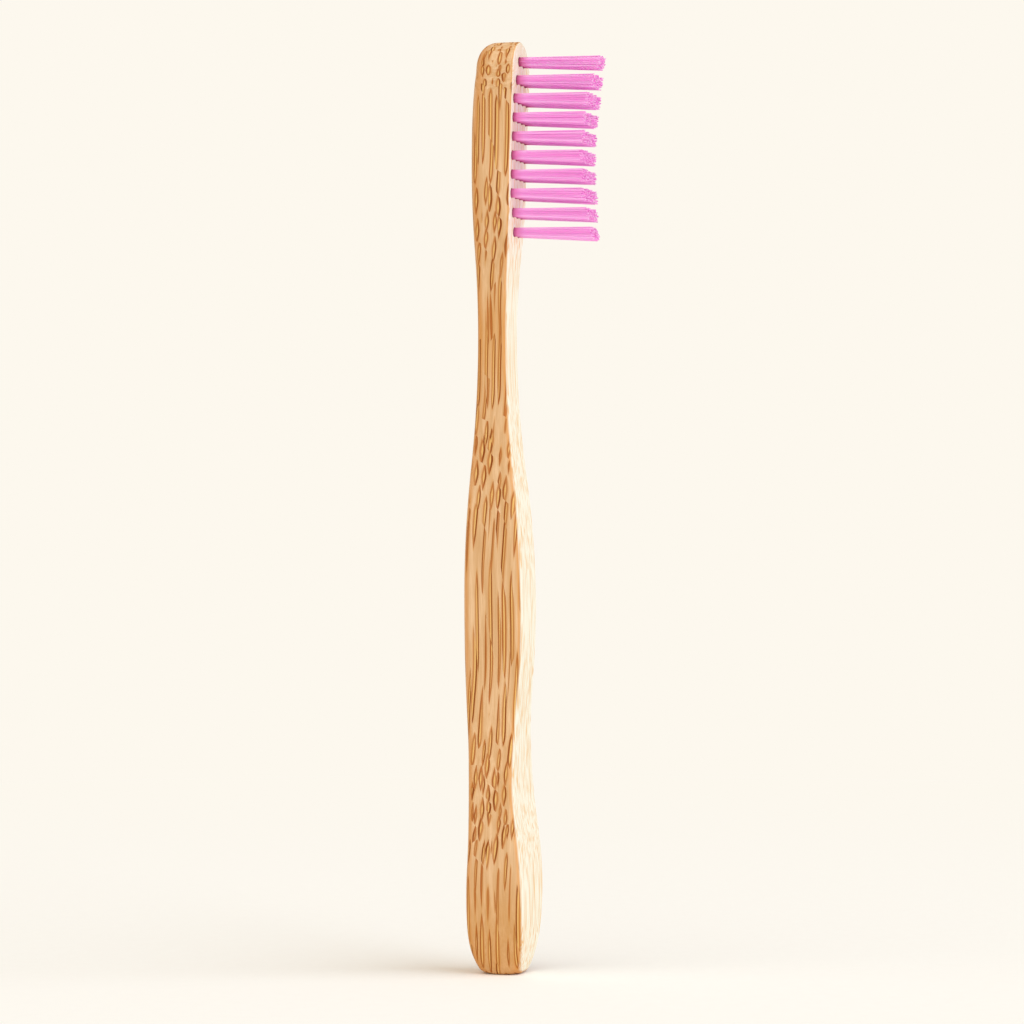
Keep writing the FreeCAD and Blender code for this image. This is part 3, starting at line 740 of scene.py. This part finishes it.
def tube(path, radius, sides, points, faces):
    """Adds a tube with flat ends along a path that bends in the upright plane only."""
    first = len(points)
    for i, centre in enumerate(path):
        before = path[max(i - 1, 0)]
        after = path[min(i + 1, len(path) - 1)]
        direction = (after - before).normalized()
        sideways = (across_head - direction * direction.dot(across_head)).normalized()
        upwards = direction.cross(sideways)
        for side in range(sides):
            turn = 2 * math.pi * side / sides
            points.append(centre + radius * (math.cos(turn) * sideways + math.sin(turn) * upwards))
    for i in range(len(path) - 1):
        for side in range(sides):
            a = first + i * sides + side
            b = first + i * sides + (side + 1) % sides
            faces.append((a, b, b + sides, a + sides))
    faces.append(tuple(first + side for side in reversed(range(sides))))
    last = first + (len(path) - 1) * sides
    faces.append(tuple(last + side for side in range(sides)))


print("filaments", round(FILAMENT_DIAMETER / MM, 2), "mm thick with", FILAMENT_SIDES, "sides")

# %% [markdown]
# One leg runs from its tip to the fold. Most of the spread is even, a few filaments stray farther, and
# the knife leaves the tips a little ragged. Beside the plate the legs draw apart to make room for it.

# %% Tufts: one leg
# How far a tip scatters is in millimetres, and a stray one scatters some times as far.
TIP_SCATTER = 0.07
STRAY_SHARE = 0.04
STRAY_SPREAD = 2.5

# A ragged tip is at most one step too long and three steps too short.
RAGGED = 0.2 * MM
STEPS_SHORT = 3

# The bundle in the mouth of its hole and at the tips, and the round that the tips are trimmed to.
MOUTH_RADIUS = 0.66 * MM
TIP_RADIUS = 0.95 * MM
TRIM_RADIUS = 60.1 * MM

# Half the room left for the plate. The others are distances out of the head from the plate's middle.
PLATE_GAP = 0.25 * MM
TIP_REACH = 13.65 * MM
LEG_BESIDE_PLATE = 0.7 * MM
LEG_TURNS = -0.8 * MM


def leg(above_middle, across, up, chance):
    """One leg of a filament as steps out of the head, across and up it, from tip to fold."""
    spread = STRAY_SPREAD if chance.random() < STRAY_SHARE else 1
    tip_across = across * TIP_RADIUS + spread * chance.gauss(0, TIP_SCATTER) * MM
    tip_up = up * TIP_RADIUS + spread * chance.gauss(0, TIP_SCATTER) * MM
    hollow = TRIM_RADIUS - math.sqrt(TRIM_RADIUS ** 2 - (above_middle + tip_up) ** 2)
    ragged = max(-STEPS_SHORT * RAGGED, min(RAGGED, chance.gauss(0, RAGGED)))
    tip = Vector((TIP_REACH + hollow + ragged, tip_across, tip_up))
    mouth = Vector((PLATE_TO_FRONT, across * MOUTH_RADIUS, up * MOUTH_RADIUS))
    half_way = mouth.lerp(tip, 0.5)
    side = 1 if up > 0 else -1
    beside = side * PLATE_GAP + up * (MOUTH_RADIUS - PLATE_GAP)
    beside_plate = Vector((LEG_BESIDE_PLATE, mouth.y, beside))
    turning = Vector((LEG_TURNS, mouth.y, beside))
    return [tip, half_way, mouth, beside_plate, turning]


print("free length in the middle of the head:", round((TIP_REACH - PLATE_TO_FRONT) / MM, 2), "mm")

# %% [markdown]
# Each tuft takes the place of its CAD node. Its name is the seed of its random numbers, so it comes
# out the same in every run. Most of the light that enters the nylon comes out on the other side, so
# the tufts are set to cast no shadow.

# %% Tufts: all of them
FOLD_DEPTH = -1.15 * MM
CUT_EDGE = math.radians(70)


def make_tuft(name):
    """One tuft of folded filaments in the place of its CAD node."""
    chance = random.Random(name)
    root = plate_middle(name)
    above_middle = (root - field_middle).dot(up_head)
    points = []
    faces = []
    for across, up in hexagon_places(RINGS):
        upper = leg(above_middle, across, up, chance)
        lower = leg(above_middle, across, -up, chance)
        fold = Vector((FOLD_DEPTH, upper[-1].y, 0))
        steps = upper + [fold] + lower[::-1]
        path = [root + step.x * out_of_head + step.y * across_head + step.z * up_head for step in steps]
        tube(path, FILAMENT_DIAMETER / 2, FILAMENT_SIDES, points, faces)
    mesh = bpy.data.meshes.new(name)
    mesh.from_pydata(points, [], faces)
    mesh.shade_smooth()
    mesh.set_sharp_from_angle(angle=CUT_EDGE)
    tuft = bpy.data.objects.new(name.replace("bristle_", ""), mesh)
    bpy.context.scene.collection.objects.link(tuft)
    tuft.visible_shadow = False
    place(tuft, name, nylon)
    return len(faces)


face_count = sum(make_tuft(name) for name in tuft_nodes)
print(len(tuft_nodes), "tufts,", face_count, "faces")

# %% [markdown]
# ## Brass plates
# The plates are cut from flat brass wire. They sit inside the holes, so they keep the CAD shape and
# get a metal whose colour and roughness run in fine rolling lines.

# %% Brass
# Real rolling lines are finer, so these are drawn coarse enough to show when a plate is seen alone.
ROLLED_LINE_WIDTH = MM / 30
ROLLED_LINE_LENGTH = MM / 1.5
BRASS_ROUGHNESS = {"To Min": 0.2, "To Max": 0.4}

# To the eye, rolled brass wire is a pale yellow metal with soft streaks of light along it.
brass, tree = new_material("brass_rolled_flat_wire")
coordinates = add(tree, "ShaderNodeTexCoord", {}, out="Object")
rolled = {0: coordinates, 1: (1 / ROLLED_LINE_WIDTH, 1 / ROLLED_LINE_LENGTH, 1 / ROLLED_LINE_WIDTH)}
rolled = add(tree, "ShaderNodeVectorMath", rolled, operation="MULTIPLY")
lines = add(tree, "ShaderNodeTexNoise", {"Vector": rolled, "Scale": 1, "Detail": 2})
metal_colour = {MIX_FACTOR: lines, MIX_A: "#D9B36A", MIX_B: "#C79A4C"}
metal_colour = add(tree, "ShaderNodeMix", metal_colour, **COLOURS)
roughness = add(tree, "ShaderNodeMapRange", {"Value": lines, **BRASS_ROUGHNESS})
metal = {"Base Color": metal_colour, "Metallic": 1, "Roughness": roughness}
metal = add(tree, "ShaderNodeBsdfPrincipled", metal)
add(tree, "ShaderNodeOutputMaterial", {"Surface": metal})
for name in plate_nodes:
    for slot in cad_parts[name].material_slots:
        slot.material = brass
print(len(plate_nodes), "rows of plates in brass")

# %% [markdown]
# ## Floor and background
# The brush stands on a seamless cream sheet. Near the foot the floor is a plain lit surface that takes
# the shadow. Farther away it blends into the even cream of the background, which the world shows to
# the camera, so that no horizon line is seen. A bent sheet would do the same, but it would show its
# bend in views from above.

# %% Floor
CREAM = "#FDF8EE"
FLOOR_HALF = 3000 * MM
LIT_NEAR = 60 * MM
EVEN_BEYOND = 420 * MM

# Millimetres. Clouds of pulp, larger than in fine paper, so that they show at all.
PULP_WIDTH = 2.5

# To the eye, matt paper has no gloss, only its own pale colour and the soft shadow on it.
paper, tree = new_material("paper_sheet_matt")
coordinates = add(tree, "ShaderNodeTexCoord", {}, out="Object")
away = add(tree, "ShaderNodeVectorMath", {0: coordinates}, out="Value", operation="LENGTH")
near = {"Value": away, "From Min": LIT_NEAR, "From Max": EVEN_BEYOND, **FALLING}
near = add(tree, "ShaderNodeMapRange", near, **EASED)
paper_place = add(tree, "ShaderNodeVectorMath", {0: coordinates, "Scale": 1 / MM}, operation="SCALE")
pulp = add(tree, "ShaderNodeTexNoise", {"Vector": paper_place, "Scale": 1 / PULP_WIDTH, "Detail": 2})
pulp = add(tree, "ShaderNodeMix", {MIX_FACTOR: pulp, MIX_A: "#FDFEFE", MIX_B: "#FBFBFB"}, **COLOURS)
lit = add(tree, "ShaderNodeBsdfDiffuse", {"Color": pulp})
even = add(tree, "ShaderNodeEmission", {"Color": CREAM})
seen = add(tree, "ShaderNodeLightPath", {}, out="Is Camera Ray")
lit_share = add(tree, "ShaderNodeMath", {0: seen, 1: near, 2: 1}, operation="MULTIPLY_ADD")
lit_share = add(tree, "ShaderNodeMath", {0: lit_share, 1: seen}, operation="SUBTRACT")
sheet = add(tree, "ShaderNodeMixShader", {0: lit_share, 1: even, 2: lit})
add(tree, "ShaderNodeOutputMaterial", {"Surface": sheet})

floor_mesh = bpy.data.meshes.new("floor")
corners = [(-FLOOR_HALF, -FLOOR_HALF, 0), (FLOOR_HALF, -FLOOR_HALF, 0)]
corners += [(FLOOR_HALF, FLOOR_HALF, 0), (-FLOOR_HALF, FLOOR_HALF, 0)]
floor_mesh.from_pydata(corners, [], [(0, 1, 2, 3)])
floor_mesh.materials.append(paper)
floor = bpy.data.objects.new("floor", floor_mesh)
bpy.context.scene.collection.objects.link(floor)
print("floor sheet", 2 * FLOOR_HALF, "m square")

# %% [markdown]
# ## Light
# A photographer's white room fills in from all round, and the world stands in for its walls. To the
# camera and in reflections the world shows the even cream of the background instead, so the light on
# the brush can be set without changing what is seen behind it.

# %% World
AMBIENT = 0.5

world = bpy.data.worlds.new("studio")
world.use_nodes = True
tree = world.node_tree
tree.nodes.clear()
seen = add(tree, "ShaderNodeLightPath", {}, out="Is Camera Ray")
mirrored = {0: seen, 1: seen.node.outputs["Is Glossy Ray"]}
mirrored = add(tree, "ShaderNodeMath", mirrored, operation="MAXIMUM")
fill_light = add(tree, "ShaderNodeBackground", {"Color": "#FFF2DE", "Strength": AMBIENT})
backdrop = add(tree, "ShaderNodeBackground", {"Color": CREAM, "Strength": 1})
sky = add(tree, "ShaderNodeMixShader", {0: mirrored, 1: fill_light, 2: backdrop})
add(tree, "ShaderNodeOutputWorld", {"Surface": sky})
bpy.context.scene.world = world
print("world nodes:", len(tree.nodes))

# %% [markdown]
# One broad soft lamp from the right lights the front of the handle and the bristles, and a weaker one
# from the left keeps the side that faces the camera open. The first lamp is a little cooler than the
# rest, so that the shadows on the floor are warm. A lamp's power is worked out from how brightly it
# should light a white card at the brush, so that colours come out about as they are written.

# %% Lamps
# Metres. The lamps are about as wide as they are far off, which makes their light even and soft.
LAMP_DISTANCE = 8.0


def lamp(name, right, viewer, elevation, size, level, tint):
    """A square soft lamp that lights a white card facing it, at the brush, to a level."""
    data = bpy.data.lights.new(name, "AREA")
    data.size = size
    data.color = linear(tint)[:3]
    data.energy = level * (math.pi * LAMP_DISTANCE) ** 2
    thing = bpy.data.objects.new(name, data)
    over_floor = (right * to_right + viewer * to_viewer).normalized()
    direction = math.cos(elevation) * over_floor + math.sin(elevation) * Vector((0, 0, 1))
    thing.location = Vector((0, 0, CAMERA_HEIGHT)) + LAMP_DISTANCE * direction
    thing.rotation_euler = direction.to_track_quat("Z", "Y").to_euler()
    bpy.context.scene.collection.objects.link(thing)
    print(name, "at", [round(c, 2) for c in thing.location], "with", round(data.energy, 2), "W")


lamp(
    "key_lamp", right=0.87, viewer=0.5, elevation=math.radians(35), size=9.0, level=0.84, tint="#EEF7FF",
)
lamp(
    "fill_lamp", right=-0.6, viewer=0.8, elevation=math.radians(40), size=11.0, level=0.58, tint="#FFF8EC",
)
